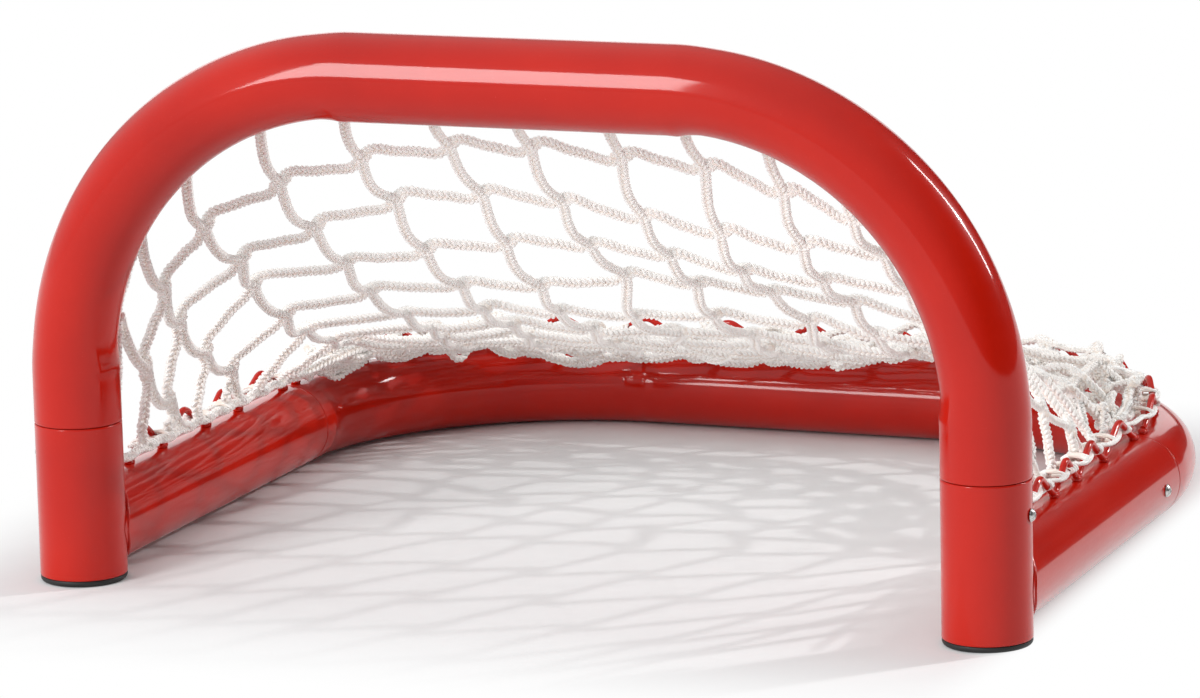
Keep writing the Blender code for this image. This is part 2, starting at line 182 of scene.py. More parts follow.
class Skin:
    """Collects swept sections, then writes them as one mesh with UVs and a painted shade value."""

    def __init__(self):
        self.points, self.tones, self.quads, self.quad_uvs, self.fans = [], [], [], [], []
        self.count = 0

    def rings(self, grid, along, closed_ends=(True, True), tone=None):
        """Adds rings by sides by 3, turned here so that the faces look outwards.

        along: length at each ring, for the UVs.
        """
        rows, sides = grid.shape[:2]
        tone = np.ones((rows, sides)) if tone is None else tone
        facing = np.cross(np.roll(grid, -1, 1)[:-1] - grid[:-1], grid[1:] - grid[:-1])
        if np.sum(facing * (grid - grid.mean(1, keepdims=True))[:-1]) < 0:
            grid, tone = grid[:, ::-1], tone[:, ::-1]
        first = self.count
        self.points.append(grid.reshape(-1, 3))
        self.tones.append(tone.ravel())
        ring, side = np.meshgrid(np.arange(rows - 1), np.arange(sides), indexing="ij")
        ring, side = ring.ravel(), side.ravel()
        beside = (side + 1) % sides
        here, there = first + ring * sides, first + (ring + 1) * sides
        self.quads.append(np.stack([here + side, here + beside, there + beside, there + side], 1))
        low, high = side / sides, (side + 1) / sides
        near, far = along[ring], along[ring + 1]
        corners = [np.stack(pair, 1) for pair in ((near, low), (near, high), (far, high), (far, low))]
        self.quad_uvs.append(np.stack(corners, 1))
        self.count += rows * sides
        for closed, row, order in zip(closed_ends, (0, rows - 1), (-1, 1)):
            if closed:
                self.points.append(grid[row].mean(0, keepdims=True))
                self.tones.append(np.ones(1))
                rim = first + row * sides + np.arange(sides)
                around = np.stack([rim, np.roll(rim, -1), np.full(sides, self.count)], 1)
                self.fans.append(around[:, ::order])
                self.count += 1

    def sweep(self, path, normals, radii, sides, closed_ends=(True, True), core=None, painted_shade_range=None):
        """A round section swept along a path; radii: one number, or one per ring.

        core: the middle line of a strand's cord; painted_shade_range: where the painted shade lightens away
        from it.
        """
        forward = unit(np.gradient(path, axis=0))
        across = unit(np.cross(forward, normals))
        upward = np.cross(across, forward)
        angles = turn_angles(sides, 0.0 if core is None else 0.5)
        radii = np.broadcast_to(radii, len(path))[:, None, None]
        grid = path[:, None] + spokes(angles, upward, across) * radii
        tone = None
        # painted shade: darker near the cord's middle line and darkest on the flanks where strands touch; a
        # bare tube gets none
        if core is not None:
            rise_from, rise = painted_shade_range
            tone = smooth_step((norm(grid - core[:, None], axis=-1) - rise_from) / rise)
            tone = tone * (PAINTED_TOUCH_SHADE + PAINTED_CREST_LIGHT * np.abs(np.cos(angles)))[None]
        self.rings(grid, run_length(path), closed_ends, tone)

    def finish(self, name, material, slot, replaced):
        """Writes the mesh as a piece of the goal that replaces a solid."""
        points = np.concatenate(self.points)
        quads = np.concatenate(self.quads)
        fans = np.concatenate(self.fans)
        mesh = bpy.data.meshes.new(name)
        corners = np.concatenate([quads.ravel(), fans.ravel()])
        starts = np.concatenate([np.arange(len(quads)) * 4, len(quads) * 4 + np.arange(len(fans)) * 3])
        mesh.vertices.add(len(points))
        mesh.vertices.foreach_set("co", points.astype(np.float32).ravel())
        mesh.loops.add(len(corners))
        mesh.loops.foreach_set("vertex_index", corners.astype(np.int32))
        mesh.polygons.add(len(starts))
        mesh.polygons.foreach_set("loop_start", starts.astype(np.int32))
        layer = mesh.uv_layers.new(name="UVMap")
        flat = np.concatenate([np.concatenate(self.quad_uvs).reshape(-1, 2), np.zeros((fans.size, 2))])
        layer.data.foreach_set("uv", flat.astype(np.float32).ravel())
        # the yarn's painted shade, read by the cord material
        tone = mesh.attributes.new("tone", "FLOAT", "POINT")
        tone.data.foreach_set("value", np.concatenate(self.tones).astype(np.float32))
        mesh.update(calc_edges=True)
        mesh.validate()
        mesh.shade_smooth()
        mesh.set_sharp_from_angle(angle=SHARP_ANGLE)
        mesh.materials.append(material)
        piece = add_object(name, mesh)
        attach(piece, "root")
        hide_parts(replaced)


# ---- materials

class Nodes:
    """Small helper for writing the node tree of a material or of the world."""

    def __init__(self, owner):
        self.owner = owner
        owner.use_nodes = True
        self.tree = owner.node_tree

    def put(self, socket, value):
        """Gives an input a value or a link from another node."""
        if isinstance(value, bpy.types.NodeSocket):
            self.tree.links.new(value, socket)
        elif socket.type == "RGBA":
            socket.default_value = (*value, 1.0)
        else:
            socket.default_value = value

    def set(self, node, *values, **settings):
        """Sets a node's first inputs, then inputs or properties by name, with _ for a space."""
        for socket, value in zip(node.inputs, values):
            self.put(socket, value)
        for key, value in settings.items():
            name = key.replace("_", " ")
            if name in node.inputs:
                self.put(node.inputs[name], value)
            else:
                setattr(node, key, value)
        return node

    def add(self, kind, *values, **settings):
        return self.set(self.tree.nodes.new("ShaderNode" + kind), *values, **settings)

    def shade(self, **inputs):
        self.set(self.tree.nodes["Principled BSDF"], **inputs)

    def object_place(self):
        return self.add("TexCoord").outputs["Object"]

    def calc(self, operation, *values):
        return self.add("Math", *values, operation=operation).outputs[0]

    def scaled(self, vector, scale):
        return self.add("Mapping", vector, Scale=scale).outputs[0]

    def noise(self, vector, scale, detail=3.0, roughness=0.5):
        node = self.add("TexNoise", Vector=vector, Scale=scale, Detail=detail, Roughness=roughness)
        return node.outputs["Fac"]

    def ramp(self, source, stops):
        """Colours or greys by place: stops holds (place, colour or grey)."""
        node = self.add("ValToRGB", source)
        elements = node.color_ramp.elements
        while len(elements) < len(stops):
            elements.new(0.5)
        for element, (place, colour) in zip(elements, stops):
            element.position = place
            element.color = (*colour, 1.0) if isinstance(colour, tuple) else (colour, colour, colour, 1.0)
        return node.outputs["Color"]

    def mix(self, share, first, second):
        """A mix of two colours; the node's inputs 0, 6 and 7 are its share and the colours."""
        node = self.add("Mix", data_type="RGBA")
        for index, value in ((0, share), (6, first), (7, second)):
            self.put(node.inputs[index], value)
        return node.outputs[2]

    def bump(self, height, strength, distance, under=None):
        node = self.add("Bump", Strength=strength, Distance=distance, Height=height)
        if under is not None:
            self.put(node.inputs["Normal"], under)
        return node.outputs["Normal"]

    def eased(self, value, start, end, low=0.0, high=1.0):
        """A value eased from low at start to high at end."""
        node = self.add("MapRange", value, interpolation_type="SMOOTHSTEP",
                        From_Min=start, From_Max=end, To_Min=low, To_Max=high)
        return node.outputs["Result"]


def red_paint_material():
    """Glossy red stove enamel: slight orange peel, fine wipe marks and dust."""
    n = Nodes(bpy.data.materials.new("red_enamel"))
    place = n.object_place()
    broad = n.noise(place, 9.0, 4.0)
    peel = n.bump(n.noise(place, 420.0, 2.0), 0.10, 0.0004)
    dust = n.ramp(n.noise(place, 900.0, 4.0, 0.75), [(0.66, 0.0), (0.74, 1.0)])
    wiped = n.noise(n.scaled(place, (0.25, 0.25, 3.0)), 60.0, 5.0, 0.7)
    colour = n.ramp(broad, [(0.30, (0.430, 0.0065, 0.0012)), (0.50, (0.485, 0.0085, 0.0016)),
                            (0.72, (0.530, 0.0115, 0.0022))])
    n.shade(Base_Color=n.mix(dust, colour, (0.60, 0.040, 0.030)),
            Roughness=n.ramp(wiped, [(0.35, 0.30), (0.62, 0.38), (0.80, 0.48)]),
            Normal=n.bump(broad, 0.15, 0.004, peel),
            Specular_IOR_Level=0.05, Coat_Weight=0.76, Coat_IOR=1.45, Coat_Roughness=0.075)
    return n.owner


def black_plastic_material():
    """Moulded black plastic with a fine grain and rubbed, dusty places."""
    n = Nodes(bpy.data.materials.new("black_moulded_plastic"))
    place = n.object_place()
    grain = n.noise(place, 1900.0, 3.0, 0.7)
    rubbed = n.noise(place, 70.0, 5.0, 0.65)
    n.shade(Base_Color=n.ramp(rubbed, [(0.38, (0.004, 0.004, 0.004)), (0.70, (0.018, 0.016, 0.015))]),
            Roughness=n.ramp(rubbed, [(0.3, 0.42), (0.75, 0.66)]),
            Normal=n.bump(grain, 0.35, 0.0002))
    return n.owner


def steel_material():
    """Bright plated steel with turning marks and a few dull spots."""
    n = Nodes(bpy.data.materials.new("bright_plated_steel"))
    place = n.object_place()
    spots = n.noise(place, 700.0, 4.0, 0.6)
    turning = n.noise(n.scaled(place, (0.3, 1.0, 1.0)), 2600.0, 2.0, 0.5)
    n.shade(Base_Color=n.ramp(spots, [(0.35, (0.46, 0.45, 0.44)), (0.68, (0.74, 0.73, 0.71))]),
            Roughness=n.ramp(spots, [(0.3, 0.20), (0.75, 0.42)]),
            Normal=n.bump(turning, 0.12, 0.0001), Metallic=1.0)
    return n.owner


def cord_material(name, light, middle, painted_shade_colour):
    """Twisted white yarn: fine twist lines, painted tan shade in the crevices between strands, soft sheen."""
    n = Nodes(bpy.data.materials.new(name))
    place = n.object_place()
    tone = n.add("Attribute", attribute_name="tone").outputs["Fac"]
    # 900 twists in a metre of yarn, leaning by 2 twists in each turn round it
    skew = n.add("SeparateXYZ", n.scaled(n.add("UVMap").outputs["UV"], (900.0, 2.0, 1.0))).outputs
    twist = n.calc("SINE", n.calc("MULTIPLY", n.calc("ADD", skew[0], skew[1]), TURN))
    fibres = n.noise(place, 2400.0, 3.0, 0.7)
    aged = n.ramp(n.noise(place, 55.0, 4.0, 0.6), [(0.42, 0.0), (0.72, 0.45)])
    # painted shade: the yarn goes from pale on its crests to tan where the strands touch
    colour = n.ramp(tone, [(0.0, painted_shade_colour), (0.45, middle), (0.95, light)])
    n.shade(Base_Color=n.mix(aged, colour, middle),
            Roughness=n.ramp(fibres, [(0.3, 0.72), (0.7, 0.95)]),
            Normal=n.bump(fibres, 0.16, 0.00025, n.bump(twist, 0.30, 0.00022)),
            Sheen_Weight=0.12, Sheen_Roughness=0.5, Specular_IOR_Level=0.25)
    return n.owner


RED = red_paint_material()
BLACK = black_plastic_material()
STEEL = steel_material()
# each cord's colours: pale crest, middle, and the tan painted shade
NET_CORD = cord_material("white_net_cord",
                         (0.99, 0.98, 0.96), (0.985, 0.955, 0.92), (0.90, 0.79, 0.70))
LACING_CORD = cord_material("white_lacing_cord",
                            (0.99, 0.98, 0.965), (0.985, 0.96, 0.93), (0.90, 0.80, 0.72))


# ---- tubes

TUBE_SIDES = 96
RING_SPACING = 0.003
EDGE_MARGIN = 0.0012
# a tube's rounded edge: distance from its end, radius
TUBE_EDGE = ((0.0, TUBE_RADIUS - 0.00055), (0.00016, TUBE_RADIUS - 0.00018), (0.0006, TUBE_RADIUS))
SPIGOT_SHOWN = 0.006
BORE_SHOWN = 0.004
# a bend's flattening inside and outside, and its swell where it begins
FLAT_INSIDE, FLAT_OUTSIDE = 0.0019, 0.0006
SWELL, SWELL_PLACE = 0.0005, 0.12
# the coped end: its first whole ring's distance behind the post, its lip's share of the radius
COPE_MARGIN = 0.002
COPE_LIP = 0.06
# the weld bead: its points, its place in the side tube and off the post, its size and ripples
BEAD_STEPS, BEAD_SIDES = 288, 12
BEAD_SINK, BEAD_OFFSET = 0.0002, 0.0012
BEAD_RADIUS = 0.0019
BEAD_RIPPLES, BEAD_WAVES = 36, 5


def tube_rings(begin, end, spigots):
    """Places and radii of a tube's rings, with rounded edges and a spigot or bore at each end."""
    inner = SPIGOT_RADIUS if spigots else TUBE_RADIUS - TUBE_WALL
    edge = [(-SPIGOT_SHOWN if spigots else BORE_SHOWN, inner), (0.0, inner), *TUBE_EDGE]
    first, last = begin + EDGE_MARGIN, end - EDGE_MARGIN
    middle = np.linspace(first, last, max(2, int((last - first) / RING_SPACING)) + 1)
    places = [begin + step for step, _ in edge] + list(middle) + [end - step for step, _ in edge[::-1]]
    edge_radii = [radius for _, radius in edge]
    return np.array(places), np.array(edge_radii + [TUBE_RADIUS] * len(middle) + edge_radii[::-1])


def bent_tube(name, point_at, line, begin, end, third, replaced):
    """A bent tube between two seams, a little flattened in its bends.

    third: the direction square to the tube's plane.
    """
    places, radii = tube_rings(begin + SEAM_GAP / 2, end - SEAM_GAP / 2, spigots=True)
    path = np.array([point_at(place) for place in places])
    inward = np.array([point_at(place, PROBE) for place in places]) - path
    for index in np.where((places < begin) | (places > end))[0]:
        anchor, step = (begin, PROBE) if places[index] < begin else (end, -PROBE)
        outward = (point_at(anchor) - point_at(anchor + step)) / PROBE
        path[index] = point_at(anchor) + outward * abs(places[index] - anchor)
        inward[index] = point_at(anchor, PROBE) - point_at(anchor)
    angles = turn_angles(TUBE_SIDES)
    share = smooth_step(np.array([line.bend_share(place) for place in places]))[:, None]
    inside = np.maximum(np.cos(angles), 0) ** 2
    outside = np.maximum(-np.cos(angles), 0) ** 2
    swell = SWELL * np.exp(-((share - SWELL_PLACE) / SWELL_PLACE) ** 2) * (share > 0)
    reach = radii[:, None] - share * (FLAT_INSIDE * inside + FLAT_OUTSIDE * outside) + swell * inside
    around = spokes(angles, unit(inward), np.tile(third, (len(path), 1)))
    grid = path[:, None] + around * reach[..., None]
    skin = Skin()
    skin.rings(grid, places - places[0])
    skin.finish(name, RED, "red_paint", replaced)


def straight_tube(name, start, finish, replaced, cope=None, bead=None):
    """A straight tube from start to finish, with rounded edges or a coped and welded front end."""
    start, finish = np.array(start), np.array(finish)
    length = norm(finish - start)
    forward = (finish - start) / length
    upward = np.array((0, 0, 1.0)) if abs(forward[2]) < 0.5 else np.array((0, 1.0, 0))
    across = unit(np.cross(forward, upward))
    upward = np.cross(across, forward)
    places, radii = tube_rings(0.0, length, spigots=False)
    around = spokes(turn_angles(TUBE_SIDES), upward[None], across[None])
    grid = (start + places[:, None] * forward)[:, None] + around * radii[:, None, None]
    if cope is not None:
        keep = places > TUBE_RADIUS + COPE_MARGIN
        front = grid[keep][0].copy()
        front[:, 1] = start[1] + np.sqrt(cope ** 2 - (front[:, 0] - start[0]) ** 2)
        inner = front + (start - front) * (COPE_LIP, 0, COPE_LIP)
        grid = np.concatenate([inner[None], front[None], grid[keep]])
        places = np.concatenate([[0.0, 0.0], places[keep]])
    skin = Skin()
    skin.rings(grid, places, (cope is None, True))
    if bead is not None:
        skin.sweep(*bead)
    skin.finish(name, RED, "red_paint", replaced)


def weld_bead(side):
    """What sweeps the rippled fillet weld round the coped end of a side tube."""
    angle = np.linspace(0, TURN, BEAD_STEPS + 1)
    across = (TUBE_RADIUS - BEAD_SINK) * np.cos(angle)
    rise = (TUBE_RADIUS - BEAD_SINK) * np.sin(angle)
    along = np.sqrt((TUBE_RADIUS + BEAD_OFFSET) ** 2 - across ** 2)
    height = np.array([base_axis_height(value) for value in along]) + rise
    path = np.stack([side * HALF_SPACING + across, FRONT_Y + along, height], 1)
    normals = unit(np.stack([across, np.full(len(angle), 0.010), rise], 1))
    thickness = BEAD_RADIUS * (0.42 + 0.58 * np.abs(np.sin(angle)))
    ripple = 1 + 0.10 * np.abs(np.sin(angle * BEAD_RIPPLES)) + 0.06 * np.sin(angle * BEAD_WAVES + side)
    return path, normals, thickness * ripple, BEAD_SIDES, (False, False)


def build_tubes():
    bent_tube("arch_tube_enamel", arch_point, ARCH, 0.0, ARCH.length, (0, 1, 0), "arch_tube")
    bent_tube("rear_bar_enamel", base_point, BASE, BASE_SEAM, BASE.length - BASE_SEAM, (0, 0, 1), "rear_bar")
    for name, side in HANDS:
        x = side * HALF_SPACING
        straight_tube(name + "_lower_post_enamel", (x, FRONT_Y, FOOT_RIM),
                      (x, FRONT_Y, POST_HEIGHT - SEAM_GAP / 2), name + "_lower_post")
        start = (x, FRONT_Y, base_axis_height(0.0))
        finish = (x, FRONT_Y + BASE_SEAM - SEAM_GAP / 2, base_axis_height(BASE_SEAM))
        straight_tube(name + "_side_tube_enamel", start, finish, name + "_side_tube",
                      cope=TUBE_RADIUS + SEAT_GAP, bead=weld_bead(side))


# ---- caps and screws

CAP_RIM = TUBE_RADIUS - SEAT_GAP
CAP_ROUND = 0.0018
# radius and height: the plug inside the post, the rim's shoulder and the hollow under the foot
CAP_PLUG = ((0.0215, 0.0120), (0.0215, 0.0034), (CAP_RIM, 0.0032), (CAP_RIM + 0.0001, 0.0030),
            (CAP_RIM + 0.0001, CAP_ROUND))
CAP_HOLLOW = ((0.0205, 0.0), (0.0200, 0.0004), (0.0060, 0.0004), (0.0055, 0.0))
SCREW_SIDES = 72
SHANK_RADIUS, SHANK_DEPTH = 0.002, 0.012
HEAD_EDGE = 0.0002
HEAD_SEAT = -0.0001
DOME_ANGLE = math.radians(62)
DOME_REACH, DOME_POWER = 0.0021, 1.3
SOCKET_BEVEL = 0.0001


def turned(profile, sides, matrix):
    """Rings of a turned shape; a radius is one number, or one per side."""
    angles = turn_angles(sides)
    rings = [np.stack([radius * np.cos(angles), radius * np.sin(angles), np.full(sides, height)], 1)
             for radius, height in profile]
    return np.array(rings) @ np.array(matrix.to_3x3()).T + np.array(matrix.translation)


def build_caps():
    rounded = [(CAP_RIM - CAP_ROUND * (1 - math.cos(angle)), CAP_ROUND * (1 - math.sin(angle)))
               for angle in np.linspace(0, math.pi / 2, 9)]
    profile = [*CAP_PLUG, *rounded, *CAP_HOLLOW]
    for name, side in HANDS:
        place = Matrix.Translation((side * HALF_SPACING, FRONT_Y, 0.0))
        skin = Skin()
        skin.rings(turned(profile, TUBE_SIDES, place), np.linspace(0, 0.05, len(profile)))
        skin.finish(name + "_foot_cap_moulding", BLACK, "black_plastic", name + "_foot_cap")


def hexagon(width):
    """Radii of a hexagon, one per side of a screw's rings."""
    angles = turn_angles(SCREW_SIDES)
    return width / 2 / np.cos((angles + math.pi / 6) % (math.pi / 3) - math.pi / 6)


def screw_profile():
    """Radii and heights from the shank's end over the domed head into its hexagon socket."""
    profile = [(SHANK_RADIUS, -SHANK_DEPTH), (SHANK_RADIUS, HEAD_SEAT),
               (HEAD_RADIUS - HEAD_EDGE, HEAD_SEAT), (HEAD_RADIUS, HEAD_EDGE)]
    for share in np.linspace(0.0, 1.0, 7)[1:]:
        rise = (HEAD_HEIGHT - HEAD_EDGE) * math.sin(share * DOME_ANGLE) / math.sin(DOME_ANGLE)
        profile.append((HEAD_RADIUS - DOME_REACH * share ** DOME_POWER, HEAD_EDGE + rise))
    bottom = HEAD_HEIGHT - SOCKET_DEPTH
    return profile + [(hexagon(SOCKET_WIDTH + 2 * SOCKET_BEVEL), HEAD_HEIGHT),
                      (hexagon(SOCKET_WIDTH), HEAD_HEIGHT - SOCKET_BEVEL),
                      (hexagon(SOCKET_WIDTH), bottom), (0.0004, bottom - 0.0002)]


def build_screws():
    profile = screw_profile()
    along = BASE_SEAM - BASE_SCREW_SETBACK
    for name, side in HANDS:
        out = side * (HALF_SPACING + TUBE_RADIUS + SEAT_GAP)
        places = {"post": (out, FRONT_Y, POST_HEIGHT - POST_SCREW_SETBACK),
                  "base": (out, FRONT_Y + along, base_axis_height(along))}
        for kind, seat in places.items():
            matrix = Matrix.Translation(seat) @ Matrix.Rotation(side * math.pi / 2, 4, "Y")
            skin = Skin()
            skin.rings(turned(profile, SCREW_SIDES, matrix), np.linspace(0, 0.02, len(profile)))
            skin.finish(f"{name}_{kind}_screw_button", STEEL, "bright_steel", f"{name}_{kind}_screw")


# ---- lacing rods

ARCH_ROD_END = 0.009
ARCH_TEETH = 14
TOOTH_ROUNDING = 0.16
TOOTH_STEPS = 30
ROD_SIDES = 16
BLOB_WIDTH, BLOB_HEIGHT = 0.0030, 0.0024
BLOB_LIFT = 0.0009


# places of the rods' low points along the base
VALLEYS = {
    "left_lacing_rod": (0.066, 0.112, 0.174, 0.222, 0.2892),
    "rear_lacing_rod": (0.3085, 0.382, 0.438, 0.494, 0.550, 0.606, 0.662, 0.7185, 0.776, 0.8355, 0.8955,
                        0.9515, 1.003, 1.0601),
    "right_lacing_rod": tuple(BASE.length - value for value in (0.2892, 0.226, 0.173, 0.128, 0.070)),
}
ARCH_VALLEYS = np.linspace(ARCH_ROD_END, ARCH.length - ARCH_ROD_END, ARCH_TEETH + 1)
ARCH_VALLEYS[1:-1] += RANDOM.uniform(-0.0022, 0.0022, ARCH_TEETH + 1)[1:-1]


def tooth_height(share):
    """Height of the wire over its valleys, share 0 to 1 from one valley to the next."""
    rise = 2 * np.minimum(share, 1 - share)
    scale = 2 * TOOTH_ROUNDING * (1 - TOOTH_ROUNDING)
    low = rise ** 2 / scale
    high = 1 - (1 - rise) ** 2 / scale
    straight = (rise - TOOTH_ROUNDING / 2) / (1 - TOOTH_ROUNDING)
    return TOOTH_HEIGHT * np.select([rise < TOOTH_ROUNDING, rise > 1 - TOOTH_ROUNDING], [low, high], straight)


def rod_path(point_at, valleys):
    path = []
    for begin, end in zip(valleys, valleys[1:]):
        for share in np.arange(TOOTH_STEPS) / TOOTH_STEPS:
            path.append(point_at(begin + (end - begin) * share, 0.0, ROD_LIFT + tooth_height(share)))
    path.append(point_at(valleys[-1], 0.0, ROD_LIFT))
    return np.array(path)


def weld_blob(skin, centre, forward, outward, size):
    """A small flat lump of weld between the wire and the tube."""
    across = unit(np.cross(forward, outward))
    turn = turn_angles(ROD_SIDES)
    flat = np.cos(turn)[:, None] * across * BLOB_WIDTH + np.sin(turn)[:, None] * outward * BLOB_HEIGHT
    uneven = 1 + 0.10 * np.sin(turn * 3 + size * 9000)
    rings = [centre - forward * math.cos(angle) * size + flat * (math.sin(angle) * uneven)[:, None]
             for angle in np.linspace(0.0, math.pi, 9)]
    skin.rings(np.array(rings), np.linspace(0, 0.01, 9))


def build_rod(name, point_at, valleys, outward):
    skin = Skin()
    path = rod_path(point_at, valleys)
    places = np.linspace(valleys[0], valleys[-1], len(path))
    normals = np.array([unit(point_at(place, PROBE) - point_at(place)) for place in places])
    skin.sweep(path, normals, ROD_RADIUS, ROD_SIDES)
    for valley in valleys:
        forward = unit(point_at(valley + PROBE) - point_at(valley - PROBE))
        centre = point_at(valley, 0.0, TUBE_RADIUS + BLOB_LIFT)
        weld_blob(skin, centre, forward, outward, RANDOM.uniform(0.0040, 0.0052))
    skin.finish(name + "_wire", RED, "red_paint", name)


def build_rods():
    for name, valleys in VALLEYS.items():
        build_rod(name, base_point, valleys, (0, 0, 1))
    build_rod("arch_lacing_rod", arch_point, ARCH_VALLEYS, (0, 1, 0))


# ---- cords

STRAND_SIDES = 6
# a braid's yarn radius, its sway to each side, its rise and the length of one full turn
NET_BRAID = (0.00134, 0.00222, 0.00108, 0.0096)
EDGE_BRAID = (0.00135, 0.00170, 0.00085, 0.0080)
LACING_BRAID = (0.00088, 0.0010, 0.00045, 0.0062)
BRAID_STEP = 0.0010
LACING_STEP = 0.0008
# where a strand's painted shade starts to lighten and by how much, in the cord's reaches
BRAID_SHADE_RISE = np.array((0.25, 0.70))
COIL_SHADE_RISE = np.array((0.45, 0.45))
COIL_STEPS = 16  # in one turn
COIL_YARN, COIL_THICKNESS, COIL_PITCH = 0.0011, 0.0024, 0.0026
# a knot's plait: half width and thickness, yarn radius, length of one full turn, points along it
PLAIT_WIDTH, PLAIT_THICKNESS, PLAIT_YARN, PLAIT_PITCH = 0.0030, 0.0015, 0.00155, 0.0075
PLAIT_STEPS = 15


def through(points, steps):
    """A smooth line (Catmull-Rom) through points, steps samples between two."""
    points = np.asarray(points, float)
    padded = np.concatenate([2 * points[:1] - points[1:2], points, 2 * points[-1:] - points[-2:-1]])
    share = (np.arange(steps) / steps)[:, None]
    line = []
    for before, here, there, after in zip(padded, padded[1:], padded[2:], padded[3:]):
        line.append(0.5 * (2 * here + (there - before) * share
                           + (2 * before - 5 * here + 4 * there - after) * share ** 2
                           + (3 * here - before - 3 * there + after) * share ** 3))
    line.append(points[-1:])
    return np.concatenate(line)


def even_steps(path, normals, step):
    """Places, path and normals at even steps along a path, which is smoothed a little."""
    lengths = run_length(path)
    places = np.linspace(0, lengths[-1], max(8, int(lengths[-1] / step)) + 1)
    path, normals = [np.stack([np.interp(places, lengths, item[:, axis]) for axis in range(3)], 1)
                     for item in (path, normals)]
    for _ in range(2):
        path[1:-1] = 0.25 * path[:-2] + 0.5 * path[1:-1] + 0.25 * path[2:]
    return places, path, unit(normals)


def braid(skin, path, normals, sizes, step=BRAID_STEP, phase=0.0):
    """A three-strand flat braid along a path; normals point away from its flat side."""
    yarn, sway, rise, pitch = sizes
    places, path, normals = even_steps(path, normals, step)
    forward = unit(np.gradient(path, axis=0))
    across = unit(np.cross(forward, normals))
    upward = np.cross(across, forward)
    wander = 0.25 * np.sin(places * 160 + phase * 3)
    reach = math.hypot(sway, rise) + yarn
    for number in range(3):
        turn = TURN * (places / pitch + number / 3) + phase + wander
        strand = path + across * (sway * np.sin(turn))[:, None] + upward * (rise * np.sin(2 * turn))[:, None]
        radii = yarn * (1 + 0.08 * np.sin(places * 900 + number + phase))
        skin.sweep(strand, normals, radii, STRAND_SIDES, core=path, painted_shade_range=BRAID_SHADE_RISE * reach)


def coil(skin, centre, axis, wide_way, wide, turns, phase):
    """A lashing: a few tight turns of yarn round an axis, flat and with tucked ends."""
    axis = unit(axis)
    first = square_to(wide_way, axis)
    second = np.cross(axis, first)
    count = int(turns * COIL_STEPS)
    steps = np.arange(count + 1)
    turn = np.linspace(0, TURN * turns, count + 1) + phase
    run = (np.linspace(0, 1, count + 1) - 0.5) * turns * COIL_PITCH
    tuck = 1 - 0.72 * np.exp(-(np.minimum(steps, count - steps) / 3.0) ** 2)
    around = np.outer(np.cos(turn) * wide, first) + np.outer(np.sin(turn) * COIL_THICKNESS, second)
    out = around * tuck[:, None]
    core = centre + axis * run[:, None]
    reach = max(wide, COIL_THICKNESS) + COIL_YARN
    skin.sweep(core + out, unit(out), COIL_YARN, STRAND_SIDES, core=core, painted_shade_range=COIL_SHADE_RISE * reach)


def plait(skin, centre, axis, flat_way, half_length, phase):
    """A knot where two braids pass through each other: a short thick plait."""
    axis = unit(axis)
    flat_way = square_to(flat_way, axis)
    across = np.cross(axis, flat_way)
    share = np.linspace(-1, 1, PLAIT_STEPS)
    full = np.sqrt(np.maximum(1 - np.abs(share) ** 2.6, 0.0))
    core = centre + axis * (share * half_length)[:, None]
    reach = math.hypot(PLAIT_WIDTH, PLAIT_THICKNESS) + PLAIT_YARN
    for number in range(4):
        turn = TURN * (share * half_length / PLAIT_PITCH + number / 4) + phase
        path = (core + across * (PLAIT_WIDTH * full * np.sin(turn))[:, None]
                + flat_way * (PLAIT_THICKNESS * full * np.sin(2 * turn))[:, None])
        skin.sweep(path, np.tile(flat_way, (PLAIT_STEPS, 1)), PLAIT_YARN * (0.55 + 0.45 * full), STRAND_SIDES,
                   core=core, painted_shade_range=BRAID_SHADE_RISE * reach)


# ---- net

ROW_DEPTHS = (0.0352, 0.070, 0.1065, 0.1466, 0.190, 0.232, 0.270, 0.304, 0.335, 0.363, 0.388)
COLUMN_PLACES = (-0.370, -0.335, -0.284, -0.230, -0.172, -0.116, -0.063, -0.013,
                 0.039, 0.088, 0.138, 0.187, 0.238, 0.290, 0.335, 0.370)
# knots read in the photograph: a row's first column, then its knots' places across and up, in mm
READ_ROWS = {
    1: (3, (-222, 197), (-173, 226), (-121, 242), (-66, 252), (-16, 253), (39, 250), (89, 246), (136, 234),
        (177, 220)),
    2: (2, (-258, 132), (-216, 172), (-168, 193), (-116, 212), (-62, 218), (-12, 216), (38, 209), (84, 202),
        (134, 197), (182, 194)),
    3: (3, (-227, 149), (-166, 165), (-115, 175), (-64, 181), (-11, 183), (38, 179), (83, 172), (132, 169)),
    4: (5, (-111, 146), (-60, 148), (-6, 157)),
}
READ_KNOTS = {(row, column): (across / 1000, up / 1000) for row, (first, *spots) in READ_ROWS.items()
              for column, (across, up) in enumerate(spots, first)}
# rows of slack along the rear bar: distance in from its axis, and height over the slack's lower edge
SLACK_ROWS = ((0.076, 0.0215), (0.064, 0.0165), (0.052, 0.0110), (0.041, 0.0055), (0.030, 0.0125),
              (0.018, 0.0175))
SLACK_PITCH = 0.050
SLACK_START = 0.26
# the slack's lower edge in the photograph: place along the base and height, in mm
LOWER_EDGE = ((280, 57), (330, 53), (385, 53), (430, 55), (450, 53), (475, 54), (500, 47), (530, 43),
              (550, 43), (570, 46.5), (600, 45.5), (620, 48), (640, 52), (665, 52), (690, 49.5), (710, 49),
              (730, 53), (755, 56), (800, 58), (1100, 60))
NET_BACK = BASE_DEPTH - NET_INSET
